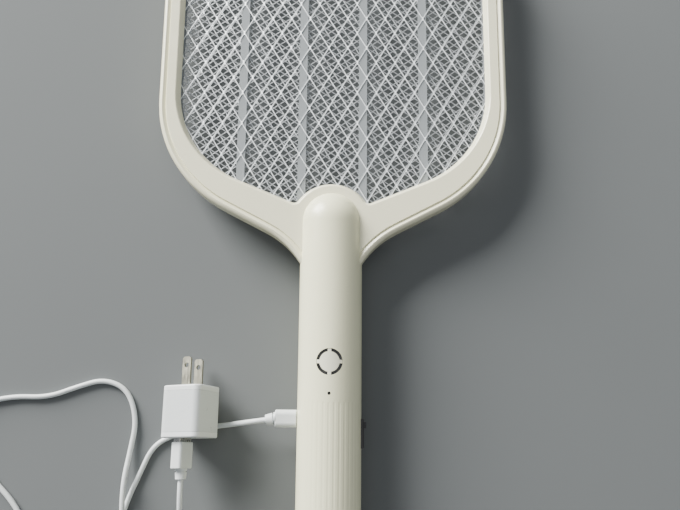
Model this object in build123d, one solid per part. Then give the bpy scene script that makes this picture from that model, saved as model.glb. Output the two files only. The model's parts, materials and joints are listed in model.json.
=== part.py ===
from build123d import *
import math
import os

# Rechargeable electric fly swatter with its charging lead and wall adapter, in millimetres.
# The swatter lies on its back on the plane z = 0, its handle along Y and its head towards +Y.
# Swatter pieces are drawn about the plane where the two halves part, then lifted onto the table.

# ---- driving dimensions: whole swatter ----
overall_length = 524.0
head_top_y = overall_length / 2
handle_end_y = -overall_length / 2
handle_radius = 18.75
back_flat_depth = 1.35
parting_z = handle_radius - back_flat_depth
fit_gap = 0.15

# ---- head frame ----
head_half_width = 108.85
frame_half = 7.5
crown_slope = 9.0
crown_radius = 250.0
head_corner_radius = 80.8
lower_corner_y = 39.7
lower_corner_radius = 77.7
lower_slope = 27.5
neck_x = 27.2
neck_slope = 56.3
neck_radius = 56.0
neck_end_x = 10.0
neck_end_radius = 6.0
frame_skin = 2.0
frame_wall = 1.5
shoulder_radius = 2.6
groove_inset = 4.3
groove_outer_width = 2.0
groove_inner_width = 0.6
groove_depth = 1.05

# ---- opening in the head: all insets count inwards from its upper edge ----
opening_band = 10.5
opening_corner_radius = 64.0
opening_lower_y = 50.7
opening_slope = 22.5
arch_y = 8.7
arch_radius = 23.2
horn_radius = 5.0
lip_run = 2.0
lip_bottom_z = 2.5
lip_round = 0.9
seat_inset = -1.0
grid_inset = -0.8
spacer_rim_inset = 2.3
grid_rim_inset = 1.6

# ---- grids and insulating ribs ----
coarse_thickness = 0.6
fine_thickness = 0.1
diamond_width = 12.1
diamond_length = 20.36
strand_width = 1.2
diamond_turn = 0.35
front_bond = (2.9, 155.2)
rear_bond = (5.3, 161.5)
rib_width = 5.0
rib_pitch = 38.0

# ---- handle ----
handle_wall = 2.2
handle_end_round = 9.0
dome_y = 9.6
flute_radius = 4.0
flute_depth = 0.1
flute_pitch = 9.45
flute_top_y = -97.0
flute_bottom_y = handle_end_y + 12.0
lanyard_y = handle_end_y + 10.0
lanyard_radius = 2.6
lanyard_boss_radius = 4.3
boss_radius = 2.95
screw_radius = 1.2
screw_head_radius = 2.0
screw_head_height = 1.5
handle_screw_seat = -10.5
frame_screw_seat = -5.0
handle_screw_places = [(12.5, -236.0), (-12.5, -236.0), (12.5, -162.0), (-12.5, -162.0)]
neck_screw_y = 8.0
head_screw_inset = 6.2
side_screw_y = 130.0
neck_flank_screw = (30.0, 12.0)

# ---- controls ----
button_y = -74.5
button_radius = 5.75
button_hole_radius = 7.55
button_lug_width = 2.0
button_travel = 0.8
led_y = -92.1
led_radius = 0.95
button_drop = 0.25
lug_bottom_z = 16.3
ring_low_z = 12.4
ring_top_z = 15.2
plunger_top_z = 6.0
switch_y = -115.2
switch_length = 16.4
switch_height = 7.0
switch_inner_x = 16.6
switch_outer_x = 20.2
switch_travel = 5.0
knob_y = -110.5
knob_size = (3.5, 3.0)
knob_outer_x = 21.6

# ---- electronics ----
board_top = -1.6
board_thickness = 1.6
board_half_width = 15.0
board_low_y = -148.0
board_high_y = -30.0
board_support_places = (-140.0, -90.0, -38.0)
cell_radius = 9.15
cell_length = 65.0
cell_y = -210.0
cell_cradle_places = (-229.0, -188.0)
rib_half = 0.8
tab_thickness = 0.3
tact_half = 3.0
tact_top_z = 1.9
tact_well_z = -0.3
plunger_radius = 1.75
plunger_low_z = 0.9
transformer_y = -52.0
core_half = (8.0, 7.0)
core_top_z = 10.4
core_window_x = (2.0, 6.4)
core_window_z = (1.2, 7.6)
winding_half = (6.2, 10.0)
winding_gap = 0.2
diode_places = (2.0, 6.0, 10.0)
diode_y = -131.0
diode_radius = 1.35
capacitor_box = ((-11.5, -4.5), (-138.0, -124.0), (board_top, 9.0))
transistor_place = (8.5, -88.0)
transistor_legs = (-1.3, 0.0, 1.3)
controller_box = ((-2.0, 3.0), (-112.0, -106.0), (board_top, 0.0))
switch_body_box = ((9.5, 15.5), (switch_y - 7, switch_y + 7), (board_top, 3.9))
lead_radius = 0.7
grid_lead_radius = 0.5
lead_gate = ((-5.0, 5.0), (-40.0, -20.0), (0.0, 4.0))

# ---- charging lead ----
socket_y = -107.2
socket_mouth_x = -18.35
socket_size = (7.35, 8.94, 3.2)
plug_shell_size = (6.65, 8.25, 2.4)
plug_gap = 0.15
plug_boot_length = 12.6
plug_boot_width = 10.0
plug_boot_height = 6.8
relief_length = 5.6
relief_lean = 8.0
relief_sunk = 0.6
relief_groove_width = 0.8
relief_groove_radius = 2.7
relief_groove_place = 1.6
cord_diameter = 3.0
floor_height = cord_diameter / 2 + 0.05
hump_height = 7.7

# ---- wall adapter, drawn about its own centre with the prongs along +Y ----
adapter_width = 25.2
adapter_length = 29.5
adapter_round = 4.0
adapter_wall = 1.6
adapter_plate = 3.0
adapter_seam = 0.25
adapter_x = -81.1
adapter_y = -104.1
adapter_z = 16.88
adapter_turn = 0.95
adapter_pitch = 6.5
adapter_roll = 20.8
prong_width = 5.4
prong_thickness = 1.5
prong_length = 16.8
prong_spacing = 12.7
prong_hole_setback = 4.9
usb_x = -3.05
usb_z = 2.1
usb_gap = 2.15
usb_insert = 9.3
usb_shell = (4.5, 12.0)
usb_boot = (7.1, 13.0)
usb_boot_length = 14.7
usb_relief_length = 5.7

adapter_place = (
    Pos(adapter_x, adapter_y, adapter_z)
    * Rot(0, 0, adapter_turn)
    * Rot(-adapter_pitch, 0, 0)
    * Rot(0, -adapter_roll, 0)
)


def save(name, shape, lift=parting_z):
    """Write one sub-part, lifted from the parting plane to its height above the table."""
    moved = Pos(0, 0, lift) * shape
    moved.label = name
    export_step(moved, f"parts/{name}.step")


def mirrored(half):
    """Close a right half of (x, y, radius) corners, first on the axis, with its mirror image."""
    return half + [(-x, y, r) for x, y, r in reversed(half) if x > 0]


def moved_in(corners, distance):
    """Move every side of a clockwise outline inwards, and match its corner radii."""
    moved = []
    for i, (x, y, r) in enumerate(corners):
        before = Vector(x, y) - Vector(*corners[i - 1][:2])
        after = Vector(*corners[(i + 1) % len(corners)][:2]) - Vector(x, y)
        a = before.normalized()
        b = after.normalized()
        turn = a.X * b.Y - a.Y * b.X
        corner = Vector(x, y) - (b - a) * (distance / turn)
        moved.append((corner.X, corner.Y, r + distance * math.copysign(1, turn)))
    return moved


def rounded_face(corners):
    """Flat face bounded by an outline of (x, y, radius) corners."""
    points = [(x, y) for x, y, r in corners]
    return make_face(FilletPolyline(*points, radius=[r for x, y, r in corners], close=True))


def top_corners(inset):
    """The crowned top and its shoulder, inset from the head's outline."""
    rise = math.tan(math.radians(crown_slope))
    peak = head_top_y + crown_radius * (1 / math.cos(math.radians(crown_slope)) - 1)
    peak -= inset / math.cos(math.radians(crown_slope))
    side = head_half_width - inset
    return [(0, peak, crown_radius - inset), (side, peak - side * rise, head_corner_radius - inset)]


def head_corners():
    """Outer outline of the head and its neck."""
    drop = math.tan(math.radians(lower_slope))
    neck_y = lower_corner_y - (head_half_width - neck_x) * drop
    neck_end_y = neck_y - (neck_x - neck_end_x) * math.tan(math.radians(neck_slope))
    half = top_corners(0) + [
        (head_half_width, lower_corner_y, lower_corner_radius),
        (neck_x, neck_y, neck_radius),
        (neck_end_x, neck_end_y, neck_end_radius),
    ]
    return mirrored(half)


def opening_face(inset):
    """The head's opening, arched at the bottom around the handle's domed end."""
    side = head_half_width - opening_band
    base = opening_lower_y - side * math.tan(math.radians(opening_slope))
    half = top_corners(opening_band) + [(side, opening_lower_y, opening_corner_radius)]
    outline = half + [(0, base, 5.0)] + [(-x, y, r) for x, y, r in reversed(half) if x > 0]
    face = rounded_face(moved_in(outline, inset)) - Pos(0, arch_y) * Circle(arch_radius + inset)
    horns = face.vertices().sort_by_distance((0, arch_y, 0))[:2]
    return fillet(horns, horn_radius - inset)


def between(face, low, high):
    """Extrude a flat face from one height to another."""
    return Pos(0, 0, low) * extrude(face, high - low)


def along_y(face, low, high):
    """Extrude a face drawn on the XZ plane from one Y to another."""
    return Pos(0, high, 0) * extrude(face, high - low)


def post(x, y, radius, low, high):
    """Upright cylinder between two heights."""
    return Pos(x, y, (low + high) / 2) * Cylinder(radius, high - low)


def block(x, y, z):
    """Box from three (low, high) pairs."""
    centre = Pos(sum(x) / 2, sum(y) / 2, sum(z) / 2)
    return centre * Box(x[1] - x[0], y[1] - y[0], z[1] - z[0])


def wire(points, radius, bend):
    """Round wire along a polyline with equal bends."""
    path = FilletPolyline(*points, radius=bend)
    return sweep(Plane(path @ 0, z_dir=path % 0) * Circle(radius), path)


# ---- head ----

def frame_blank():
    """Front half of the head and neck, with its round shoulder and groove, before it is hollowed."""
    plate = extrude(rounded_face(head_corners()), frame_half)
    rim = plate.faces().sort_by(Axis.Z)[-1].outer_wire().edges()
    plate = fillet(rim, shoulder_radius)
    corners = moved_in(head_corners(), groove_inset)
    middle = len(corners) // 2 + 1
    path_corners = corners[middle:] + corners[:middle]
    points = [(x, y, frame_half) for x, y, r in path_corners]
    path = FilletPolyline(*points, radius=[r for x, y, r in path_corners[1:-1]])
    section_plane = Plane(path @ 0, x_dir=(0, 0, 1), z_dir=path % 0)
    spread = 1 + 1 / groove_depth
    section = make_face(Polyline(
        (1, -groove_outer_width * spread),
        (-groove_depth, 0),
        (1, groove_inner_width * spread),
        close=True,
    ))
    return plate - sweep(section_plane * section, path)


def corner_screw(radius, corner_y, slope, side):
    """Screw place inside a rounded corner above (1) or below (-1) the head's straight side."""
    arc_y = corner_y - side * radius * math.tan(math.radians(45 - slope / 2))
    reach = (radius - head_screw_inset) * math.sqrt(0.5)
    return (head_half_width - radius + reach, arc_y + side * reach)


def frame_screw_places():
    """Screw places at the ring's corners, sides and top, and beside the neck."""
    right = [
        corner_screw(head_corner_radius, top_corners(0)[1][1], crown_slope, 1),
        (head_half_width - head_screw_inset, side_screw_y),
        corner_screw(lower_corner_radius, lower_corner_y, lower_slope, -1),
        neck_flank_screw,
    ]
    return [(0, head_top_y - head_screw_inset)] + right + [(-x, y) for x, y in right]


def frame_half_part(blank):
    """Front half of the frame, hollow, with a sloping lip round the opening and screw bosses."""
    lip_top = opening_face(0)
    lip_low = opening_face(lip_run)
    part = blank - loft(
        [Pos(0, 0, lip_bottom_z) * lip_low, Pos(0, 0, frame_half) * lip_top], ruled=True
    )
    lip = part.edges().filter_by(lambda e: abs(e.center().Z - frame_half) < 0.01)
    inner = [e for e in lip if e.distance_to(Pos(0, 0, frame_half) * lip_top.wires()[0]) < 0.01]
    part = fillet(inner, lip_round)
    hollow = rounded_face(moved_in(head_corners(), frame_wall)) - opening_face(seat_inset)
    bosses = [post(x, y, boss_radius, 0, frame_half) for x, y in frame_screw_places()]
    bosses.append(post(0, neck_screw_y, boss_radius, 0, frame_half))
    part -= extrude(hollow, frame_half - frame_skin) - bosses
    part -= extrude(opening_face(seat_inset), lip_bottom_z)
    return part - [block(*lead_gate), post(0, neck_screw_y, screw_radius + fit_gap, -1, 9)]


def coarse_grid(bond):
    """Expanded-metal sheet with long diamonds, its edge hidden under the frame's lip."""
    diagonal = math.hypot(diamond_width, diamond_length)
    shrink = 1 - strand_width * diagonal / (diamond_width * diamond_length)
    half_width = diamond_width * shrink / 2
    half_length = diamond_length * shrink / 2
    hole = make_face(Polyline(
        (half_width, 0), (0, half_length), (-half_width, 0), (0, -half_length), close=True
    ))
    lattice = Pos(*bond) * Rot(0, 0, diamond_turn)
    columns = range(-10, 10)
    rows = range(-8, 7)
    cells = [(i + 0.5, j) for i in columns for j in rows] + [(i, j + 0.5) for i in columns for j in rows]
    places = [lattice * Pos(i * diamond_width, j * diamond_length) for i, j in cells]
    window = opening_face(grid_rim_inset)
    holes = [place * hole for place in places if place.position.Y > arch_y]
    return extrude(opening_face(grid_inset) - window + (window - holes), coarse_thickness)


def spacer():
    """Insulating plastic frame with ribs that holds a coarse grid off the fine grid."""
    low = fine_thickness / 2
    high = lip_bottom_z - coarse_thickness
    outline = opening_face(grid_inset)
    ribs = []
    for step in (-1.5, -0.5, 0.5, 1.5):
        x = step * rib_pitch
        ribs.append(Pos(x, (head_top_y + arch_y) / 2) * Rectangle(rib_width, head_top_y))
    openings = opening_face(spacer_rim_inset) - ribs
    return between(outline - openings, low, high)


# ---- handle ----

def handle_solid(inset):
    """The handle's round body with its rounded end and its dome, moved in by an inset."""
    radius = handle_radius - inset
    end = handle_end_y + inset
    side = FilletPolyline((0, end), (radius, end), (radius, dome_y), radius=handle_end_round - inset)
    dome = CenterArc((0, dome_y), radius, 0, 90)
    axis = Line((0, dome_y + radius), (0, end))
    return revolve(make_face(side.edges() + dome.edges() + axis.edges()), Axis.Y)


def flutes(angles):
    """Shallow grip flutes along the handle, at angles from straight up."""
    centre = Pos(0, handle_radius + flute_radius - flute_depth)
    strip = Pos(0, handle_radius) * Rectangle(2 * flute_radius, 3 * flute_depth)
    profile = centre * Circle(flute_radius) & strip
    cutter = along_y(Plane.XZ * profile, flute_bottom_y, flute_top_y)
    return [Rot(0, angle, 0) * cutter for angle in angles]


def side_windows():
    """Windows in the handle's sides for the charging socket and the slide switch."""
    slot = RectangleRounded(socket_size[1] + 0.3, socket_size[2] + 0.3, 1.6)
    socket = Pos(-handle_radius, socket_y, 0) * Rot(0, 90, 0) * Rot(0, 0, 90) * slot
    window = block(
        (switch_inner_x - 1.5, handle_radius + 1),
        (switch_y - switch_length / 2 - 0.1, switch_y + switch_length / 2 + 0.1),
        (-switch_height / 2 - 0.1, switch_height / 2 + 0.1),
    )
    return [extrude(socket, 4, both=True), window]


def lanyard_tube():
    """Tube round the hanging hole."""
    return post(0, lanyard_y, lanyard_boss_radius, -handle_radius, handle_radius)


def lanyard_hole():
    return post(0, lanyard_y, lanyard_radius, -30, 30)


def handle_front_cover(blank):
    """Upper shell of the handle with its dome, button hole, screw bosses and grip flutes."""
    outer = handle_solid(0)
    inner = handle_solid(handle_wall)
    bosses = [post(x, y, boss_radius, 0, handle_radius) for x, y in handle_screw_places]
    bosses.append(post(0, neck_screw_y, boss_radius, frame_half, handle_radius))
    shell = outer - inner + [inner & boss for boss in bosses + [lanyard_tube()]]
    shell = split(shell, Plane.XY, keep=Keep.TOP)
    shell -= flutes([flute_pitch * step for step in range(-9, 10)])
    cutters = side_windows() + [lanyard_hole(), blank]
    cutters += [post(x, y, screw_radius - 0.2, -1, 8) for x, y in handle_screw_places]
    cutters.append(post(0, neck_screw_y, screw_radius - 0.2, frame_half - 1, 15))
    cutters.append(post(0, button_y, button_hole_radius, 10, 30))
    cutters.append(post(0, led_y, led_radius, 10, 30))
    return shell - cutters


def handle_rear_cover(blank):
    """Lower shell of the handle with the flat it lies on, screw bosses, cell cradle and board ribs."""
    floor = -parting_z
    outer = split(handle_solid(0), Plane.XY.offset(floor), keep=Keep.TOP)
    inner = split(handle_solid(handle_wall), Plane.XY.offset(floor + handle_wall), keep=Keep.TOP)
    features = [post(x, y, boss_radius, floor, 0) for x, y in handle_screw_places]
    features.append(post(0, neck_screw_y, boss_radius + 0.8, floor, -frame_half))
    features.append(lanyard_tube())
    cell_room = Pos(0, cell_y, 0) * Rot(90, 0, 0) * Cylinder(cell_radius + 0.1, cell_length)
    for y in cell_cradle_places:
        rib = block((-board_half_width, board_half_width), (y - rib_half, y + rib_half), (floor, -1))
        features.append(rib - cell_room)
    for y in board_support_places:
        features.append(block((-13, 13), (y - rib_half, y + rib_half), (floor, board_top - board_thickness)))
    shell = outer - inner + [inner & feature for feature in features]
    shell = split(shell, Plane.XY, keep=Keep.BOTTOM)
    shell -= flutes([side * flute_pitch * step for step in range(10, 17) for side in (-1, 1)])
    cutters = side_windows() + [lanyard_hole(), mirror(blank, Plane.XY)]
    for x, y in handle_screw_places + [(0, neck_screw_y)]:
        cutters.append(post(x, y, screw_radius + fit_gap, floor - 1, 1))
        cutters.append(post(x, y, screw_head_radius + 0.2, floor - 1, handle_screw_seat))
    return shell - cutters


def screw(x, y, seat, tip, radius, head_radius):
    """Self-tapping screw driven upwards, with a cross recess in its head."""
    head = post(x, y, head_radius, seat - screw_head_height, seat)
    recess = [block((-0.3, 0.3), (-1.2, 1.2), (-1, 1)), block((-1.2, 1.2), (-0.3, 0.3), (-1, 1))]
    body = head + post(x, y, radius, seat, tip)
    return body - [Pos(x, y, seat - screw_head_height) * slot for slot in recess]


# ---- controls ----

def power_button():
    """Round cap with four lugs that bridge the light ring, a retaining flange and a post."""
    cap = post(0, button_y, button_radius, plunger_top_z + 5, handle_radius)
    lug = between(Rectangle(button_lug_width, 2 * button_hole_radius), lug_bottom_z, handle_radius)
    lugs = (lug + Rot(0, 0, 90) * lug) & Cylinder(button_hole_radius - fit_gap, 60)
    cap = (cap + Pos(0, button_y, 0) * lugs) & handle_solid(button_drop)
    cap += post(0, button_y, button_radius + 1, plunger_top_z + 4.4, plunger_top_z + 5.6)
    return cap + post(0, button_y, 2, plunger_top_z, plunger_top_z + 5)


def button_light_ring():
    """Smoked light guide round the button, seated against the inside of the cover."""
    collar = post(0, button_y, button_hole_radius + 1.7, ring_low_z, handle_radius)
    ring = post(0, button_y, button_hole_radius - fit_gap, ring_low_z, ring_top_z)
    seat = (collar & handle_solid(handle_wall)) - post(0, button_y, button_hole_radius, ring_top_z, 30)
    return seat + ring - post(0, button_y, button_radius + 0.2, 0, 30)


def switch_plate():
    """Dark plate of the slide switch in the handle's side."""
    low = switch_y - switch_length / 2
    plate = block((switch_inner_x, switch_outer_x), (low, low + switch_length),
                  (-switch_height / 2, switch_height / 2))
    plate = fillet(plate.faces().sort_by(Axis.X)[-1].edges(), 0.8)
    half = knob_size[0] / 2 + fit_gap
    slot_z = knob_size[1] / 2 + fit_gap
    return plate - block((0, 30), (knob_y - switch_travel - half, knob_y + half), (-slot_z, slot_z))


def switch_knob():
    """Sliding nub with a flange behind the plate."""
    half = knob_size[0] / 2
    nub = block((15.8, knob_outer_x), (knob_y - half, knob_y + half), (-knob_size[1] / 2, knob_size[1] / 2))
    nub = fillet(nub.faces().sort_by(Axis.X)[-1].edges(), 0.5)
    return nub + block((15.8, 16.4), (knob_y - half - 1, knob_y + half + 1), (-2.6, 2.6))


def status_led():
    body = post(0, led_y, 1.5, board_top, 1.0)
    return body + Pos(0, led_y, 1.0) * Sphere(1.5)


def led_light_pipe():
    rod = post(0, led_y, led_radius - 0.05, 3.0, 18.1)
    return rod + (post(0, led_y, 1.8, 14.5, 20) & handle_solid(handle_wall))


# ---- electronics ----

def main_board():
    return block((-board_half_width, board_half_width), (board_low_y, board_high_y),
                 (board_top - board_thickness, board_top))


def tactile_switch():
    around = (button_y - tact_half, button_y + tact_half)
    body = block((-tact_half, tact_half), around, (board_top, tact_top_z))
    return body - post(0, button_y, plunger_radius + 0.1, tact_well_z, tact_top_z)


def transformer_core():
    """Two ferrite E halves as one closed frame with a centre leg."""
    ends = (transformer_y - core_half[1], transformer_y + core_half[1])
    core = block((-core_half[0], core_half[0]), ends, (board_top, core_top_z))
    window = block(core_window_x, (ends[0] - 1, ends[1] + 1), core_window_z)
    return core - [window, mirror(window, Plane.YZ)]


def transformer_winding():
    """Taped winding round the centre leg."""
    ends = (transformer_y - winding_half[1], transformer_y + winding_half[1])
    heights = (core_window_z[0] + winding_gap, core_window_z[1] - winding_gap)
    outer = block((-winding_half[0], winding_half[0]), ends, heights)
    outer = fillet(outer.edges().filter_by(Axis.Z), core_window_x[0] + winding_gap)
    leg_half = core_window_x[0] + winding_gap
    leg_ends = (transformer_y - core_half[1] - winding_gap, transformer_y + core_half[1] + winding_gap)
    return outer - block((-leg_half, leg_half), leg_ends, (heights[0] - 1, heights[1] + 1))


def multiplier_diodes():
    """High-voltage diodes lying side by side, with their leads."""
    diode = Rot(90, 0, 0) * (Cylinder(diode_radius, 6) + Cylinder(diode_radius / 4, 9))
    lying_z = board_top + diode_radius + 0.65
    return Compound(children=[Pos(x, diode_y, lying_z) * diode.solid() for x in diode_places])


def storage_capacitor():
    """Film capacitor block."""
    return fillet(block(*capacitor_box).edges(), 0.9)


def boost_transistor():
    """Small transistor with a flat front, standing on three legs."""
    x, y = transistor_place
    body = post(x, y, 2.4, 1.0, 5.6) - block((x - 3, x + 3), (y - 3, y - 2), (0, 9))
    leg = block((x - 0.3, x + 0.3), (y - 0.3, y + 0.3), (board_top, 1.0))
    legs = [Pos(offset, 0, 0) * leg for offset in transistor_legs]
    return body + legs


def charge_controller():
    return block(*controller_box)


def battery_cell():
    cell = Pos(0, cell_y, 0) * Rot(90, 0, 0) * Cylinder(cell_radius, cell_length)
    return fillet(cell.edges().filter_by(GeomType.CIRCLE), 0.8)


def battery_tabs():
    """Nickel tabs spot-welded to the cell's ends."""
    reach = (cell_length + tab_thickness) / 2
    return [block((-3, 3), (y - tab_thickness / 2, y + tab_thickness / 2), (-3, 7.5))
            for y in (cell_y - reach, cell_y + reach)]


def battery_leads():
    """Leads from the tabs to the board, the longer one over the cell."""
    front = cell_y + cell_length / 2 + tab_thickness
    back = cell_y - cell_length / 2 - tab_thickness
    landing = board_top + lead_radius + 0.05
    red = wire([
        (0, front, 5), (0, front + 6, 5), (-5, front + 18, 3), (-5, front + 28, landing),
        (-5, front + 34, landing),
    ], lead_radius, 3)
    black = wire([
        (0, back, 5), (0, back - 1.7, 5), (1, back - 1.7, 11.8), (5.5, back + 9, 12.4),
        (6, front + 5.2, 12.2), (6, front + 28.2, landing), (6, front + 35.2, landing),
    ], lead_radius, 1.0)
    return [red, black]


def grid_leads():
    """Leads from the board through the neck: one to the fine grid and one to each coarse grid."""
    side_x = 5.0
    end_y = arch_y + math.sqrt((arch_radius + grid_inset) ** 2 - side_x ** 2) - 0.2
    coarse_z = lip_bottom_z - coarse_thickness / 2
    start_y = board_high_y - 3
    start_z = board_top + grid_lead_radius + 0.1
    fine = [(1.5, start_y, start_z), (3, -15, 0), (side_x, 3, 0), (side_x, end_y, 0)]
    front = [(-4, start_y, start_z), (-4.2, -15, 1), (-side_x, 3, 2), (-side_x, end_y, coarse_z)]
    rear = [(-1.4, start_y, start_z), (-1.6, -18, -1), (-7, 3, -2), (-7, end_y - 1, -coarse_z)]
    fine, front, rear = [wire(route, grid_lead_radius, 4) for route in (fine, front, rear)]
    return fine, [front, rear]


# ---- charging socket and plug ----

def side_slot(width, height, corner, low_x, high_x):
    """Rounded block lying along X at the charging socket's place."""
    mouth = Plane((low_x, socket_y, 0), x_dir=(0, 1, 0), z_dir=(1, 0, 0))
    return extrude(mouth * RectangleRounded(width, height, corner), high_x - low_x)


def charge_socket():
    length, width, height = socket_size
    back = socket_mouth_x + length
    shell = side_slot(width, height, 1.5, socket_mouth_x, back)
    shell -= side_slot(8.34, 2.56, 1.2, socket_mouth_x - 1, back - 0.8)
    return shell + side_slot(6.7, 0.7, 0.2, back - 5.3, back - 0.5)


plug_front_x = -handle_radius - plug_gap
plug_back_x = plug_front_x - plug_boot_length


def plug_shell():
    length, width, height = plug_shell_size
    shell = side_slot(width, height, 1.15, plug_front_x, plug_front_x + length)
    return shell - side_slot(7.2, 1.5, 0.6, plug_front_x + 1.2, plug_front_x + length + 1)


def plug_boot():
    boot = side_slot(plug_boot_width, plug_boot_height, 2.8, plug_back_x, plug_front_x)
    return fillet(boot.faces().sort_by(Axis.X)[0].edges() + boot.faces().sort_by(Axis.X)[-1].edges(), 0.6)


def strain_relief(length, wide, narrow):
    """Tapered sleeve along -Z from the origin, with a groove round its wide end."""
    sleeve = Pos(0, 0, -length / 2) * Cone(narrow, wide, length)
    groove = Cylinder(wide + 1, relief_groove_width) - Cylinder(relief_groove_radius, relief_groove_width)
    return sleeve - Pos(0, 0, -relief_groove_place) * groove


relief_place = Pos(plug_back_x + relief_sunk, socket_y, 0) * Rot(0, 0, relief_lean)


def plug_relief():
    """The plug's relief leans the way its cord leaves; its wide end is cut flush with the boot."""
    sleeve = relief_place * Rot(0, 90, 0) * strain_relief(relief_length + relief_sunk, 3.8, 2.9)
    reach = 2 * relief_length
    return sleeve & block((plug_back_x - reach, plug_back_x), (socket_y - reach, socket_y + reach), (-5, 5))


# ---- wall adapter ----

def adapter_face(width, corner):
    return Plane.XZ * RectangleRounded(width, width, corner)


adapter_end = adapter_length / 2
usb_front_y = -adapter_end - usb_gap
usb_back_y = usb_front_y - usb_boot_length
usb_relief_end_y = usb_back_y - usb_relief_length


def adapter_housing():
    """Square sleeve with rounded corners between the two end plates."""
    reach = adapter_end - adapter_plate
    outer = along_y(adapter_face(adapter_width, adapter_round), -reach, reach)
    ends = outer.faces().sort_by(Axis.Y)
    outer = chamfer(ends[0].edges() + ends[-1].edges(), adapter_seam)
    inner_width = adapter_width - 2 * adapter_wall
    return outer - along_y(adapter_face(inner_width, adapter_round - adapter_wall), -reach - 1, reach + 1)


def adapter_end_plate(side):
    """Closing plate of one end, its outer edge rounded."""
    low, high = sorted((side * (adapter_end - adapter_plate), side * adapter_end))
    plate = along_y(adapter_face(adapter_width, adapter_round), low, high)
    rim = plate.faces().sort_by(Axis.Y)[-1 if side > 0 else 0].edges()
    return fillet(rim, 0.9)


def usb_block(size, low, high, corner=0.4):
    face = Plane.XZ * Pos(usb_x, usb_z) * RectangleRounded(size[0], size[1], corner)
    return along_y(face, low, high)


def blade(side):
    """Flat prong with a hole near its tapered tip."""
    tip = adapter_end + prong_length
    bar = block((-prong_width / 2, prong_width / 2), (adapter_end - adapter_plate - 3, tip),
                (-prong_thickness / 2, prong_thickness / 2))
    bar = chamfer(bar.faces().sort_by(Axis.Y)[-1].edges().filter_by(Axis.Z), 1.0)
    bar = bar - Pos(0, tip - prong_hole_setback, 0) * Cylinder(1.5, 9)
    return Pos(0, 0, side * prong_spacing / 2) * bar


def adapter_prong_plate(prongs):
    return adapter_end_plate(1) - prongs


def adapter_usb_plate():
    return adapter_end_plate(-1) - usb_block((usb_shell[0] + 0.5, usb_shell[1] + 0.5), -40, 0)


def adapter_receptacle():
    """USB socket inside the adapter, with its tongue."""
    low = -adapter_end + adapter_plate
    high = -adapter_end + usb_insert + 1.4
    shell = usb_block((usb_shell[0] + 1.2, usb_shell[1] + 1.2), low, high)
    shell -= usb_block((usb_shell[0] + 0.12, usb_shell[1] + 0.12), low - 1, high - 1)
    tongue = block((usb_x + 0.3, usb_x + 1.7), (low, high - 0.5), (usb_z - 5.4, usb_z + 5.4))
    return shell + tongue


def usb_plug_shell():
    shell = usb_block(usb_shell, usb_front_y, -adapter_end + usb_insert, 0.5)
    return shell - usb_block((usb_shell[0] - 0.6, usb_shell[1] - 0.6), usb_front_y + 1, 5, 0.3)


def usb_plug_tongue():
    low_x = usb_x - usb_shell[0] / 2 + 0.3
    return block((low_x, low_x + 1.9), (usb_front_y + 1, -adapter_end + usb_insert - 0.3),
                 (usb_z - usb_shell[1] / 2 + 0.6, usb_z + usb_shell[1] / 2 - 0.6))


def usb_plug_boot():
    boot = usb_block(usb_boot, usb_back_y, usb_front_y, 1.6)
    ends = boot.faces().sort_by(Axis.Y)
    return fillet(ends[0].edges() + ends[-1].edges(), 0.6)


def usb_relief():
    return Pos(usb_x, usb_back_y, usb_z) * Rot(-90, 0, 0) * strain_relief(usb_relief_length, 3.4, 3.0)


def adapter_board():
    return block((5, 6.6), (-10, 8), (-9, 9))


def adapter_transformer():
    core = block((-8, 4.8), (-1.5, 8.5), (-6, 6))
    return fillet(core.edges().filter_by(Axis.Y), 1.5)


# ---- cord ----

def cord_route():
    """Points of the cord from its plug's strain relief, over the table, to the USB plug's."""
    plug_exit = (Pos(0, 0, parting_z) * relief_place * Pos(-relief_length - relief_sunk, 0, 0)).position
    plug_run = (Pos(0, 0, parting_z) * relief_place * Pos(-relief_length - 12.5, 0, 0)).position
    usb_exit = (adapter_place * Pos(usb_x, usb_relief_end_y, usb_z)).position
    usb_run = (adapter_place * Pos(usb_x, usb_relief_end_y - 13, usb_z)).position
    floor = floor_height
    return [
        tuple(plug_exit),
        tuple(plug_run),
        (-61, -112, 5.5),
        (-76, -114, floor),
        (-92, -117.6, floor),
        (-106, -124.5, floor),
        (-113, -141, floor),
        (-121, -160, floor),
        (-126, -185, floor),
        (-128, -212, floor),
        (-142, -233, floor),
        (-162, -231, floor),
        (-174, -208, floor),
        (-175, -182, floor),
        (-184, -161, floor),
        (-203, -143, floor),
        (-218, -124, floor),
        (-213, -101, floor),
        (-193, -96.4, floor),
        (-172, -97, floor),
        (-154, -90.3, floor),
        (-138, -85.6, floor),
        (-123, -92, floor),
        (-116.8, -110, floor),
        (-119.5, -129, floor + 1.2),
        (-121, -146, hump_height),
        (-120.4, -168, hump_height),
        (-119, -188, floor + 1.2),
        (-118, -207, floor),
        (-115, -223, floor),
        (-106, -232, floor),
        (-94, -232, floor),
        (-86, -223, floor),
        (-84, -207, floor),
        (-84, -190, floor + 1.5),
        (-84, -172, 16),
        tuple(usb_run),
        tuple(usb_exit),
    ]


def cord_radii(points):
    """Bend radius at each inner point: as large as its two runs allow."""
    radii = []
    for a, b, c in zip(points, points[1:], points[2:]):
        before = Vector(*b) - Vector(*a)
        after = Vector(*c) - Vector(*b)
        turn = math.radians(before.get_angle(after))
        radii.append(0.45 * min(before.length, after.length) / math.tan(turn / 2))
    return radii


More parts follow.
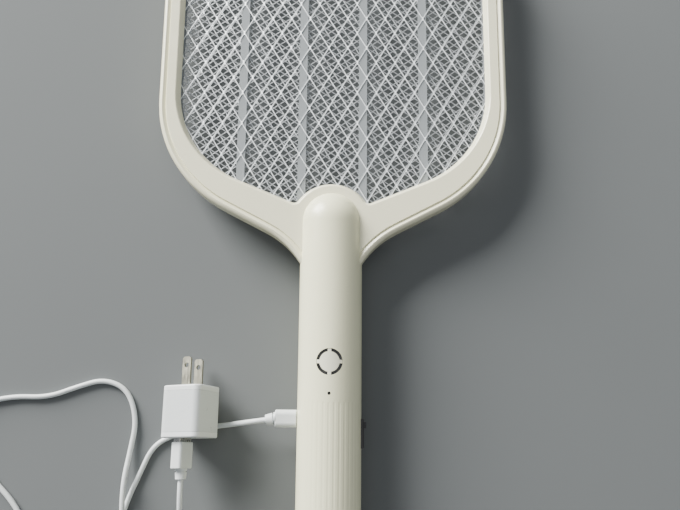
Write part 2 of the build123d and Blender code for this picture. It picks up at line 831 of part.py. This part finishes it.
def charging_cord():
    """Tube of the cord, with its bend radii and length printed."""
    points = cord_route()
    radii = cord_radii(points)
    path = FilletPolyline(*points, radius=radii)
    tube = sweep(Plane(path @ 0, z_dir=path % 0) * Circle(cord_diameter / 2), path)
    print("cord bend radii", [round(r, 1) for r in radii])
    print("cord length", round(path.length, 1))
    print("tube volume over section times length", round(tube.volume / (path.length * math.pi * 2.25), 4))
    return tube


def build():
    """Make every sub-part and write its file."""
    os.makedirs("parts", exist_ok=True)
    blank = frame_blank()
    frame = frame_half_part(blank)
    places = frame_screw_places()
    save("front_frame", frame - [post(x, y, 0.8, -1, 5) for x, y in places])
    recesses = [post(x, y, 1.9, -9, frame_screw_seat) for x, y in places]
    through = [post(x, y, 1.15, -9, 1) for x, y in places]
    save("rear_frame", mirror(frame, Plane.XY) - recesses - through)
    save("front_grid", Pos(0, 0, lip_bottom_z - coarse_thickness) * coarse_grid(front_bond))
    save("rear_grid", Pos(0, 0, -lip_bottom_z) * coarse_grid(rear_bond))
    save("fine_grid", between(opening_face(grid_inset), -fine_thickness / 2, fine_thickness / 2))
    front_spacer = spacer()
    save("front_spacer", front_spacer)
    save("rear_spacer", mirror(front_spacer, Plane.XY))
    frame_screws = [screw(x, y, frame_screw_seat, 4.5, 1.0, 1.75) for x, y in places]
    save("frame_screws", Compound(children=frame_screws))

    save("handle_front_cover", handle_front_cover(blank))
    save("handle_rear_cover", handle_rear_cover(blank))
    handle_screws = [
        screw(x, y, handle_screw_seat, 6.5, screw_radius, screw_head_radius) for x, y in handle_screw_places
    ]
    handle_screws.append(screw(0, neck_screw_y, handle_screw_seat, 14, screw_radius, screw_head_radius))
    save("handle_screws", Compound(children=handle_screws))

    save("power_button", power_button())
    save("button_light_ring", button_light_ring())
    save("tactile_switch", tactile_switch())
    save("switch_plunger", post(0, button_y, plunger_radius, plunger_low_z, plunger_top_z))
    save("slide_switch_plate", switch_plate())
    save("slide_switch_knob", switch_knob())
    save("slide_switch_body", block(*switch_body_box))
    save("status_led", status_led())
    save("led_light_pipe", led_light_pipe())

    save("main_board", main_board())
    save("transformer_core", transformer_core())
    save("transformer_winding", transformer_winding())
    save("multiplier_diodes", multiplier_diodes())
    save("storage_capacitor", storage_capacitor())
    save("boost_transistor", boost_transistor())
    save("charge_controller", charge_controller())
    save("battery_cell", battery_cell())
    save("battery_tabs", Compound(children=battery_tabs()))
    save("battery_leads", Compound(children=battery_leads()))
    fine_lead, coarse_leads = grid_leads()
    save("fine_grid_lead", fine_lead)
    save("coarse_grid_leads", Compound(children=coarse_leads))
    save("charge_socket", charge_socket())

    save("plug_shell", plug_shell())
    save("plug_boot", plug_boot())
    save("plug_strain_relief", plug_relief())
    save("charging_cord", charging_cord(), 0)

    prongs = [blade(-1), blade(1)]
    adapter_parts = {
        "usb_plug_shell": usb_plug_shell(),
        "usb_plug_tongue": usb_plug_tongue(),
        "usb_plug_boot": usb_plug_boot(),
        "usb_plug_strain_relief": usb_relief(),
        "adapter_housing": adapter_housing(),
        "adapter_prong_plate": adapter_prong_plate(prongs),
        "adapter_usb_plate": adapter_usb_plate(),
        "adapter_prongs": Compound(children=prongs),
        "adapter_receptacle": adapter_receptacle(),
        "adapter_board": adapter_board(),
        "adapter_transformer": adapter_transformer(),
    }
    for name, shape in adapter_parts.items():
        save(name, adapter_place * shape, 0)


build()
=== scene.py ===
import json
import math

import bpy
import numpy as np
from mathutils import Matrix, Vector


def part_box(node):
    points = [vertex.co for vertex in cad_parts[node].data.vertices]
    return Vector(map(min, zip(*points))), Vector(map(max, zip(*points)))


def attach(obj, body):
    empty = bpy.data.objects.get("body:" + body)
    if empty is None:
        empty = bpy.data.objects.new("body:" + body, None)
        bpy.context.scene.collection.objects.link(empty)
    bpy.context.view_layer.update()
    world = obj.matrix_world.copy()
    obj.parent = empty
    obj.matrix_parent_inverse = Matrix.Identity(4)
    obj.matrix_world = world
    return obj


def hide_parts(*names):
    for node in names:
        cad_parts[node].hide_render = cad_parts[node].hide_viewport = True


# Electric fly swatter: camera, cord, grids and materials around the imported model. Units are metres.

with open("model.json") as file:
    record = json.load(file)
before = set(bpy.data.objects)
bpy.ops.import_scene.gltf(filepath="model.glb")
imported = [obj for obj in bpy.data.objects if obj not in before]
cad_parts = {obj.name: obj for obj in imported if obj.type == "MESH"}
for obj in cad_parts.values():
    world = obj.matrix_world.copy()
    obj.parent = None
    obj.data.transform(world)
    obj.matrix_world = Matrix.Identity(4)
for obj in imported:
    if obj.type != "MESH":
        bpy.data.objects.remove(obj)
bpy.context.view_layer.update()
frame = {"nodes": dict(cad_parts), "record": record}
nodes = frame["nodes"]
MM = 0.001


# ---- camera, light and floor ----

CAMERA_PLACE = (6.08 * MM, -84 * MM, 425 * MM)
CAMERA_TILT = 10.3
CAMERA_TURN = 0.54
LENS_MM = 36.0
SENSOR_MM = 36.0

# Daylight from a window at the upper left, a faint glow from the ceiling and an even sky.
WINDOW_PLACE = (-2.1, 2.25, 1.15)
WINDOW_SIZE = (1.6, 2.0)
WINDOW_WATTS = 465
WINDOW_COLOUR = (1.0, 0.985, 0.95)
CEILING_PLACE = (0.1, 0.1, 1.5)
CEILING_SIZE = (1.2, 1.2)
CEILING_WATTS = 3
CEILING_COLOUR = (1.0, 1.0, 1.0)
SKY_COLOUR = (0.93, 0.96, 1.0, 1)
SKY_STRENGTH = 0.37

FLOOR_HALF = 3.0
FLOOR_DROP = 0.1 * MM
FLOOR_COLOUR = (0.138, 0.149, 0.152)
FLOOR_ROUGHNESS = 0.9


def add_camera():
    """Camera above the handle, tilted from straight down towards the head."""
    data = bpy.data.cameras.new("camera")
    data.lens = LENS_MM
    data.sensor_width = SENSOR_MM
    camera = bpy.data.objects.new("camera", data)
    camera.location = CAMERA_PLACE
    turn = Matrix.Rotation(math.radians(CAMERA_TURN), 4, "Z")
    tilt = Matrix.Rotation(math.radians(CAMERA_TILT), 4, "X")
    camera.rotation_euler = (turn @ tilt).to_euler()
    bpy.context.collection.objects.link(camera)
    bpy.context.scene.camera = camera


def add_area_light(name, place, size, watts, colour):
    """Rectangular soft light that faces the middle of the floor."""
    data = bpy.data.lights.new(name, "AREA")
    data.shape = "RECTANGLE"
    data.size, data.size_y = size
    data.energy = watts
    data.color = colour
    light = bpy.data.objects.new(name, data)
    light.location = place
    light.rotation_euler = (-Vector(place)).to_track_quat("-Z", "Y").to_euler()
    bpy.context.collection.objects.link(light)


def add_world():
    """Even sky light from all sides."""
    world = bpy.data.worlds.new("studio")
    bpy.context.scene.world = world
    world.use_nodes = True
    background = world.node_tree.nodes["Background"]
    background.inputs["Color"].default_value = SKY_COLOUR
    background.inputs["Strength"].default_value = SKY_STRENGTH


def add_floor():
    """Plain pale floor."""
    half = FLOOR_HALF
    mesh = bpy.data.meshes.new("floor")
    corners = [(-half, -half, 0), (half, -half, 0), (half, half, 0), (-half, half, 0)]
    mesh.from_pydata(corners, [], [(0, 1, 2, 3)])
    floor = bpy.data.objects.new("floor", mesh)
    bpy.context.collection.objects.link(floor)
    floor.location.z = -FLOOR_DROP
    mat, tree, shader = new_material("floor_grey")
    shade = mottled(tree, FLOOR_COLOUR, 0.03, 9)
    tree.links.new(shade, shader.inputs["Base Color"])
    shader.inputs["Roughness"].default_value = FLOOR_ROUGHNESS
    mesh.materials.append(mat)


# ---- node helpers ----

# How far a bevelled normal agrees with the true one, on a sharp edge and on a flat.
EDGE_SHARP = 0.75
EDGE_FLAT = 0.98


def new_material(name):
    """A new node material, its tree and its shader."""
    mat = bpy.data.materials.new(name)
    mat.use_nodes = True
    tree = mat.node_tree
    return mat, tree, tree.nodes["Principled BSDF"]


def object_coords(tree, stretch=(1, 1, 1)):
    """The object's own coordinates, stretched along its axes."""
    coords = tree.nodes.new("ShaderNodeTexCoord")
    mapping = tree.nodes.new("ShaderNodeMapping")
    mapping.inputs["Scale"].default_value = stretch
    tree.links.new(coords.outputs["Object"], mapping.inputs["Vector"])
    return mapping.outputs["Vector"]


def noise(tree, per_metre, detail=3, roughness=0.5, stretch=(1, 1, 1)):
    """Noise value over the object's own coordinates."""
    node = tree.nodes.new("ShaderNodeTexNoise")
    node.inputs["Scale"].default_value = per_metre
    node.inputs["Detail"].default_value = detail
    node.inputs["Roughness"].default_value = roughness
    tree.links.new(object_coords(tree, stretch), node.inputs["Vector"])
    return node.outputs["Fac"]


def ramp(tree, value, low, high, start=0.0, end=1.0):
    """Map a value from low..high to start..end, smoothly."""
    node = tree.nodes.new("ShaderNodeMapRange")
    node.interpolation_type = "SMOOTHSTEP"
    node.inputs["From Min"].default_value = low
    node.inputs["From Max"].default_value = high
    node.inputs["To Min"].default_value = start
    node.inputs["To Max"].default_value = end
    tree.links.new(value, node.inputs["Value"])
    return node.outputs["Result"]


def mix(tree, factor, first, second):
    """Mix two colours; each is a socket or an RGB triple."""
    node = tree.nodes.new("ShaderNodeMix")
    node.data_type = "RGBA"
    tree.links.new(factor, node.inputs["Factor"])
    for socket, colour in ((node.inputs[6], first), (node.inputs[7], second)):
        if isinstance(colour, bpy.types.NodeSocket):
            tree.links.new(colour, socket)
        else:
            socket.default_value = (*colour, 1)
    return node.outputs[2]


def scaled(colour, by):
    """A colour made lighter or darker, kept within range."""
    return tuple(min(1.0, channel * by) for channel in colour)


def mottled(tree, colour, amount, per_metre, stretch=(1, 1, 1)):
    """A colour with a faint cloudy variation."""
    cloud = noise(tree, per_metre, 4, 0.6, stretch)
    return mix(tree, cloud, scaled(colour, 1 - amount), scaled(colour, 1 + amount))


def bump(tree, shader, height, depth, normal=None):
    """Raise the surface by a height value, depth in metres; several may be chained."""
    node = tree.nodes.new("ShaderNodeBump")
    node.inputs["Strength"].default_value = 1.0
    node.inputs["Distance"].default_value = depth
    tree.links.new(height, node.inputs["Height"])
    if normal is not None:
        tree.links.new(normal, node.inputs["Normal"])
    tree.links.new(node.outputs["Normal"], shader.inputs["Normal"])
    return node.outputs["Normal"]


def edge_mask(tree, radius):
    """One on convex and concave edges, zero on flats."""
    bevel = tree.nodes.new("ShaderNodeBevel")
    bevel.samples = 4
    bevel.inputs["Radius"].default_value = radius
    geometry = tree.nodes.new("ShaderNodeNewGeometry")
    dot = tree.nodes.new("ShaderNodeVectorMath")
    dot.operation = "DOT_PRODUCT"
    tree.links.new(bevel.outputs["Normal"], dot.inputs[0])
    tree.links.new(geometry.outputs["Normal"], dot.inputs[1])
    return ramp(tree, dot.outputs["Value"], EDGE_SHARP, EDGE_FLAT, 1.0, 0.0)


# ---- materials ----

# How much lighter the edges are painted (a painted highlight, partly rubbed wear), and how much darker
# the scuffs are.
EDGE_HIGHLIGHT_AND_WEAR = 1.06
SCUFF_SHADE = 0.95


def moulded_plastic(name, colour, roughness, grain=1.0, cover=1.0):
    """Moulded or painted plastic: fine grain, faint clouds, lighter edges (a painted highlight, partly
    rubbed wear), small scuffs.
    """
    mat, tree, shader = new_material(name)
    base = mottled(tree, colour, 0.02, 28)
    grime = ramp(tree, noise(tree, 60, 6, 0.7), 0.58, 0.8)
    base = mix(tree, grime, base, scaled(colour, SCUFF_SHADE))
    # Lighter edges: a painted highlight along every edge, partly rubbed wear.
    base = mix(tree, edge_mask(tree, 0.6 * MM), base, scaled(colour, EDGE_HIGHLIGHT_AND_WEAR))
    tree.links.new(base, shader.inputs["Base Color"])
    rough = ramp(tree, noise(tree, 110, 5, 0.65), 0.3, 0.75, roughness - 0.06, roughness + 0.07)
    tree.links.new(rough, shader.inputs["Roughness"])
    shader.inputs["IOR"].default_value = 1.5
    shader.inputs["Alpha"].default_value = cover
    normal = bump(tree, shader, noise(tree, 2600, 2), 0.000012 * grain)
    scuffs = ramp(tree, noise(tree, 240, 6, 0.6, (1, 0.12, 1)), 0.62, 0.7)
    bump(tree, shader, scuffs, 0.000006 * grain, normal)
    return mat


def silver_paint(name, colour, roughness):
    """Warm silver-white satin paint with a fine metallic sparkle under a soft coat, and a painted
    highlight along the edges.
    """
    mat, tree, shader = new_material(name)
    base = mottled(tree, colour, 0.025, 22)
    fleck = ramp(tree, noise(tree, 5200, 1), 0.60, 0.78)
    base = mix(tree, fleck, base, scaled(colour, 1.08))
    grime = ramp(tree, noise(tree, 45, 6, 0.7), 0.6, 0.82)
    base = mix(tree, grime, base, scaled(colour, 0.95))
    # Edges painted lighter: a painted highlight along every edge.
    base = mix(tree, edge_mask(tree, 1.1 * MM), base, scaled(colour, 1.13))
    tree.links.new(base, shader.inputs["Base Color"])
    rough = ramp(tree, noise(tree, 90, 5, 0.65), 0.3, 0.75, roughness - 0.06, roughness + 0.08)
    tree.links.new(rough, shader.inputs["Roughness"])
    shader.inputs["Coat Weight"].default_value = 0.35
    shader.inputs["Coat Roughness"].default_value = 0.24
    normal = bump(tree, shader, noise(tree, 2200, 2), 0.000010)
    bump(tree, shader, noise(tree, 160, 2), 0.00006, normal)
    return mat


def bare_metal(name, colour, roughness, brushed=(1, 1, 1), wear=0.1, metallic=1.0):
    """Metal with brushed streaks, dull patches and brighter edges (a painted highlight, partly rubbed
    wear).
    """
    mat, tree, shader = new_material(name)
    base = mottled(tree, colour, wear, 160, brushed)
    # Lighter edges: a painted highlight along every edge, partly rubbed wear.
    base = mix(tree, edge_mask(tree, 0.3 * MM), base, scaled(colour, 1.15))
    tree.links.new(base, shader.inputs["Base Color"])
    shader.inputs["Metallic"].default_value = metallic
    streaks = noise(tree, 900, 4, 0.6, brushed)
    rough = ramp(tree, streaks, 0.25, 0.75, roughness - 0.08, roughness + 0.12)
    tree.links.new(rough, shader.inputs["Roughness"])
    bump(tree, shader, streaks, 0.00001)
    return mat


def soft_rubber(name, colour, roughness):
    """Smooth cable jacket: faint cloudiness, fine pores and dusty spots."""
    mat, tree, shader = new_material(name)
    base = mottled(tree, colour, 0.03, 35)
    dust = ramp(tree, noise(tree, 300, 6, 0.7), 0.6, 0.75)
    base = mix(tree, dust, base, scaled(colour, 0.93))
    tree.links.new(base, shader.inputs["Base Color"])
    rough = ramp(tree, noise(tree, 200, 4), 0.3, 0.7, roughness - 0.06, roughness + 0.08)
    tree.links.new(rough, shader.inputs["Roughness"])
    shader.inputs["Sheen Weight"].default_value = 0.08
    bump(tree, shader, noise(tree, 1800, 3), 0.00001)
    return mat


def circuit_board(name):
    """Green solder mask over a maze of copper tracks."""
    mat, tree, shader = new_material(name)
    cells = tree.nodes.new("ShaderNodeTexBrick")
    cells.inputs["Scale"].default_value = 260
    cells.inputs["Mortar Size"].default_value = 0.012
    cells.inputs["Color1"].default_value = (0.012, 0.16, 0.05, 1)
    cells.inputs["Color2"].default_value = (0.015, 0.19, 0.06, 1)
    cells.inputs["Mortar"].default_value = (0.05, 0.30, 0.10, 1)
    tree.links.new(object_coords(tree), cells.inputs["Vector"])
    base = mix(tree, noise(tree, 90, 4), cells.outputs["Color"], (0.02, 0.14, 0.05))
    tree.links.new(base, shader.inputs["Base Color"])
    shader.inputs["Roughness"].default_value = 0.32
    bump(tree, shader, cells.outputs["Fac"], 0.00003)
    return mat


def banded(name, colour, band, axis_scale, roughness):
    """Wound tape or wrapped film: fine bands across one axis."""
    mat, tree, shader = new_material(name)
    wave = tree.nodes.new("ShaderNodeTexWave")
    wave.inputs["Scale"].default_value = axis_scale
    wave.inputs["Distortion"].default_value = 0.6
    tree.links.new(object_coords(tree, (0.0, 1, 0.2)), wave.inputs["Vector"])
    base = mix(tree, wave.outputs["Fac"], colour, band)
    tree.links.new(base, shader.inputs["Base Color"])
    shader.inputs["Roughness"].default_value = roughness
    bump(tree, shader, wave.outputs["Fac"], 0.00004)
    return mat


def clear_plastic(name, colour, roughness):
    """Tinted see-through plastic with a faintly uneven gloss."""
    mat, tree, shader = new_material(name)
    tree.links.new(mottled(tree, colour, 0.02, 80), shader.inputs["Base Color"])
    rough = ramp(tree, noise(tree, 400, 3), 0.3, 0.7, roughness, roughness + 0.08)
    tree.links.new(rough, shader.inputs["Roughness"])
    shader.inputs["Transmission Weight"].default_value = 0.6
    shader.inputs["IOR"].default_value = 1.49
    return mat


def linear(red, green, blue):
    """Linear colour from the usual 0-255 display values."""
    return tuple(((value / 255 + 0.055) / 1.055) ** 2.4 for value in (red, green, blue))


def node_materials():
    """One material for each of the record's slots."""
    return {
        "silver_shell": silver_paint("silver_shell", linear(239, 238, 203), 0.34),
        "frame_silver": silver_paint("frame_silver", linear(239, 236, 206), 0.34),
        "grid_metal": bare_metal("grid_metal", linear(234, 239, 242), 0.36, metallic=0.45),
        "fine_grid_metal": bare_metal("fine_grid_metal", linear(180, 184, 187), 0.4, metallic=0.55),
        "spacer_plastic": moulded_plastic("spacer_plastic", linear(162, 168, 171), 0.5, cover=0.7),
        "screw_steel": bare_metal("screw_steel", linear(160, 160, 158), 0.3),
        "button_plastic": silver_paint("button_plastic", linear(236, 235, 212), 0.38),
        "smoked_ring": moulded_plastic("smoked_ring", linear(62, 62, 66), 0.22, 0.5),
        "switch_black": moulded_plastic("switch_black", linear(48, 48, 50), 0.45),
        "tact_black": moulded_plastic("tact_black", linear(34, 34, 35), 0.4),
        "led_lens": clear_plastic("led_lens", linear(190, 40, 34), 0.12),
        "light_pipe": clear_plastic("light_pipe", linear(30, 29, 28), 0.15),
        "board_green": circuit_board("board_green"),
        "ferrite": moulded_plastic("ferrite", linear(62, 62, 64), 0.75, 3.0),
        "winding_tape": banded("winding_tape", linear(214, 170, 60), linear(190, 140, 40), 900, 0.4),
        "diode_black": moulded_plastic("diode_black", linear(28, 28, 30), 0.25),
        "capacitor_red": moulded_plastic("capacitor_red", linear(130, 45, 32), 0.2),
        "chip_black": moulded_plastic("chip_black", linear(36, 36, 38), 0.6, 2.0),
        "cell_wrap": banded("cell_wrap", linear(38, 104, 172), linear(34, 96, 160), 300, 0.28),
        "nickel": bare_metal("nickel", linear(205, 203, 194), 0.28, (1, 0.2, 1)),
        "wire_red": soft_rubber("wire_red", linear(176, 34, 30), 0.4),
        "wire_white": soft_rubber("wire_white", linear(222, 222, 218), 0.4),
        "contact_steel": bare_metal("contact_steel", linear(190, 190, 188), 0.25, (0.3, 1, 1)),
        "lead_grey": soft_rubber("lead_grey", linear(217, 222, 222), 0.40),
        "usb_tongue": moulded_plastic("usb_tongue", linear(230, 230, 226), 0.4),
        # Adapter body and end plates are one grey plastic; the plates' lighter grey is a painted
        # highlight.
        "adapter_grey": moulded_plastic("adapter_grey", linear(206, 211, 211), 0.32, 0.6),
        "adapter_plate_grey": moulded_plastic("adapter_plate_grey", linear(222, 226, 226), 0.30, 0.6),
        "prong_metal": bare_metal("prong_metal", linear(178, 176, 160), 0.36, (1, 0.15, 1), wear=0.02),
    }


def dress_nodes(materials):
    """Give every CAD node the material of its slot."""
    for part in frame["record"]["subparts"]:
        mesh = nodes[part["node"]].data
        mesh.materials.clear()
        mesh.materials.append(materials[part["material_slot"]])


# ---- charging cord ----

CORD_DIAMETER = 3 * MM

# The cord's route in millimetres: from the plug, under the adapter, round two loops, to the USB plug.
# TABLE is the height of its middle line where it lies on the table.
TABLE = 1.55
CORD_ROUTE = [
    (-37.0, -108.1, 17.4),
    (-48.8, -109.7, 17.4),
    (-61, -112, 5.5),
    (-76, -114, TABLE),
    (-92, -117.6, TABLE),
    (-106, -124.5, TABLE),
    (-113, -141, TABLE),
    (-121, -160, TABLE),
    (-126, -185, TABLE),
    (-128, -212, TABLE),
    (-142, -233, TABLE),
    (-162, -231, TABLE),
    (-174, -208, TABLE),
    (-175, -182, TABLE),
    (-184, -161, TABLE),
    (-203, -143, TABLE),
    (-218, -124, TABLE),
    (-213, -101, TABLE),
    (-193, -96.4, TABLE),
    (-172, -97, TABLE),
    (-154, -90.3, TABLE),
    (-138, -85.6, TABLE),
    (-123, -92, TABLE),
    (-116.8, -110, TABLE),
    (-119.5, -129, TABLE + 1.2),
    (-121, -146, 7.7),
    (-120.4, -168, 7.7),
    (-119, -188, TABLE + 1.2),
    (-118, -207, TABLE),
    (-115, -223, TABLE),
    (-106, -232, TABLE),
    (-94, -232, TABLE),
    (-86, -223, TABLE),
    (-84, -207, TABLE),
    (-84, -190, TABLE + 1.5),
    (-84, -172, 16),
    (-83.9, -154.0, 23.5),
    (-84.1, -141.1, 22.0),
]


def add_cord(materials):
    """Cord as one smooth curve through the route's points."""
    points = [Vector(p) * MM for p in CORD_ROUTE]
    curve = bpy.data.curves.new("charging_cord_flex", "CURVE")
    curve.dimensions = "3D"
    curve.bevel_depth = CORD_DIAMETER / 2
    curve.bevel_resolution = 5
    curve.resolution_u = 12
    curve.use_fill_caps = True
    spline = curve.splines.new("NURBS")
    spline.points.add(len(points) - 1)
    for point, place in zip(spline.points, points):
        point.co = (*place, 1)
    spline.order_u = 3
    spline.use_endpoint_u = True
    cord = bpy.data.objects.new("charging_cord_flex", curve)
    bpy.context.collection.objects.link(cord)
    curve.materials.append(materials["lead_grey"])
    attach(cord, "charging_lead")
    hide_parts("charging_cord")


# ---- grids ----

def outline_of(node):
    """Outer edge of a flat node's top face, as a closed loop of (x, y)."""
    mesh = nodes[node].data
    top = max(v.co.z for v in mesh.vertices)
    key = {v.index: (round(v.co.x, 6), round(v.co.y, 6)) for v in mesh.vertices}
    count = {}
    for face in mesh.polygons:
        if face.normal.z > 0.9 and all(mesh.vertices[i].co.z > top - 1e-5 for i in face.vertices):
            loop = [key[i] for i in face.vertices]
            for a, b in zip(loop, loop[1:] + loop[:1]):
                pair = frozenset((a, b))
                count[pair] = count.get(pair, 0) + 1
    ends = {}
    for pair, times in count.items():
        if times == 1 and len(pair) == 2:
            a, b = tuple(pair)
            ends.setdefault(a, []).append(b)
            ends.setdefault(b, []).append(a)
    start = max(ends)
    loop = [start, ends[start][0]]
    while loop[-1] != start:
        first, second = ends[loop[-1]]
        loop.append(second if first == loop[-2] else first)
    return np.array(loop[:-1])


# Smallest cross product that counts as crossing, and shortest share of a strand worth keeping.
PARALLEL = 1e-15
SHORTEST_SHARE = 0.02


def inside_stretches(a, b, loop):
    """The stretches of the line from a to b that lie inside the loop."""
    start = np.asarray(a)
    run = np.asarray(b) - start
    edges = np.roll(loop, -1, axis=0) - loop
    cross = run[0] * edges[:, 1] - run[1] * edges[:, 0]
    cross[np.abs(cross) < PARALLEL] = PARALLEL
    gap = loop - start
    along = (gap[:, 0] * edges[:, 1] - gap[:, 1] * edges[:, 0]) / cross
    beside = (gap[:, 0] * run[1] - gap[:, 1] * run[0]) / cross
    hits = sorted(along[(beside >= 0) & (beside < 1)])
    pairs = [(max(0.0, s), min(1.0, t)) for s, t in zip(hits[::2], hits[1::2])]
    return [(s, t) for s, t in pairs if t - s > SHORTEST_SHARE]


def strand_box(a, b, middle_z, width, thickness, tilt):
    """Corners of a flat strand from a to b, turned about its own line by tilt."""
    a = Vector((*a, middle_z))
    b = Vector((*b, middle_z))
    along = (b - a).normalized()
    side = Matrix.Rotation(tilt, 3, along) @ along.cross(Vector((0, 0, 1)))
    up = side.cross(along)
    side = side * width / 2
    up = up * thickness / 2
    return [p + s * side + u * up for p in (a, b) for s, u in ((-1, -1), (1, -1), (1, 1), (-1, 1))]


BOND_SWELL = 1.15
BOX_FACES = [(3, 2, 1, 0), (4, 5, 6, 7), (0, 1, 5, 4), (1, 2, 6, 5), (2, 3, 7, 6), (3, 0, 4, 7)]


def expanded_sheet(name, loop, start_bond, cell, turn, middle_z, strands, thickness, bond):
    """Expanded metal inside a loop: two families of strands that meet in bonds.

    strands gives each family's width and tilt, for the one rising to the right and the other.
    bond gives half a bond's reach in half cells across and along, and its width.
    """
    low, high = loop.min(axis=0), loop.max(axis=0)
    half_x, half_y = cell[0] / 2, cell[1] / 2
    reach = int(max((high - low) / np.array([half_x, half_y]))) + 3

    def place(i, j):
        x, y = i * half_x, j * half_y
        return (start_bond[0] + x * math.cos(turn) - y * math.sin(turn),
                start_bond[1] + x * math.sin(turn) + y * math.cos(turn))

    verts, faces = [], []

    def add(a, b, width, tilt, thick):
        corners = strand_box(a, b, middle_z, width, thick, tilt)
        faces.extend([tuple(i + len(verts) for i in face) for face in BOX_FACES])
        verts.extend(corners)

    for i in range(-reach, reach + 1):
        for j in range(-reach, reach + 1):
            if (i + j) % 2:
                continue
            start = place(i, j)
            for step, (width, tilt) in zip((1, -1), strands):
                end = place(i + step, j + 1)
                for s, t in inside_stretches(start, end, loop):
                    a = (start[0] + (end[0] - start[0]) * s, start[1] + (end[1] - start[1]) * s)
                    b = (start[0] + (end[0] - start[0]) * t, start[1] + (end[1] - start[1]) * t)
                    add(a, b, width, tilt, thickness)
            across = np.array(place(i + bond[0], j + bond[1])) - np.array(start)
            ends = (tuple(start - across), tuple(start + across))
            whole = inside_stretches(*ends, loop)
            if whole and whole[0][0] == 0 and whole[0][1] == 1:
                add(*ends, bond[2], strands[1][1], thickness * BOND_SWELL)
    mesh = bpy.data.meshes.new(name)
    mesh.from_pydata([tuple(v) for v in verts], [], faces)
    mesh.update()
    piece = bpy.data.objects.new(name, mesh)
    bpy.context.collection.objects.link(piece)
    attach(piece, "swatter")
    return piece


# Size of a diamond, place of one bond, width and tilt of the two strand families, and bond, per sheet.
GRID_TURN = math.radians(0.35)
COARSE_CELL = (12.1 * MM, 20.36 * MM)
FRONT_BOND = (2.9 * MM, 155.2 * MM)
REAR_BOND = (5.3 * MM, 161.5 * MM)
FINE_CELL = (6.59 * MM, 4.56 * MM)
FINE_BOND = (-17.8 * MM, 107.3 * MM)
COARSE_STRANDS = [(0.55 * MM, math.radians(-4)), (0.6 * MM, math.radians(-14))]
FINE_STRANDS = [(0.52 * MM, math.radians(-6)), (0.52 * MM, math.radians(6))]
COARSE_JOINT = (0, 0.12, 0.9 * MM)
FINE_JOINT = (0.16, 0, 0.8 * MM)
COARSE_THICKNESS = 0.3 * MM
FINE_THICKNESS = 0.2 * MM


def add_grid(node, loop, material, start_bond, cell, strands, thickness, joint):
    """One sheet of expanded metal in the place of its plain CAD sheet."""
    low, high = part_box(node)
    sheet = expanded_sheet(node + "_strands", loop, start_bond, cell, GRID_TURN,
                           (low[2] + high[2]) / 2, strands, thickness, joint)
    sheet.data.materials.append(material)
    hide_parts(node)


def add_grids(materials):
    """Front and rear coarse sheets and the fine sheet between them."""
    loop = outline_of("fine_grid")
    for node, start_bond in (("front_grid", FRONT_BOND), ("rear_grid", REAR_BOND)):
        add_grid(node, loop, materials["grid_metal"], start_bond,
                 COARSE_CELL, COARSE_STRANDS, COARSE_THICKNESS, COARSE_JOINT)
    add_grid("fine_grid", loop, materials["fine_grid_metal"], FINE_BOND,
             FINE_CELL, FINE_STRANDS, FINE_THICKNESS, FINE_JOINT)


add_camera()
materials = node_materials()
add_cord(materials)
add_world()
add_area_light("window", WINDOW_PLACE, WINDOW_SIZE, WINDOW_WATTS, WINDOW_COLOUR)
add_area_light("ceiling", CEILING_PLACE, CEILING_SIZE, CEILING_WATTS, CEILING_COLOUR)
add_floor()
dress_nodes(materials)
add_grids(materials)
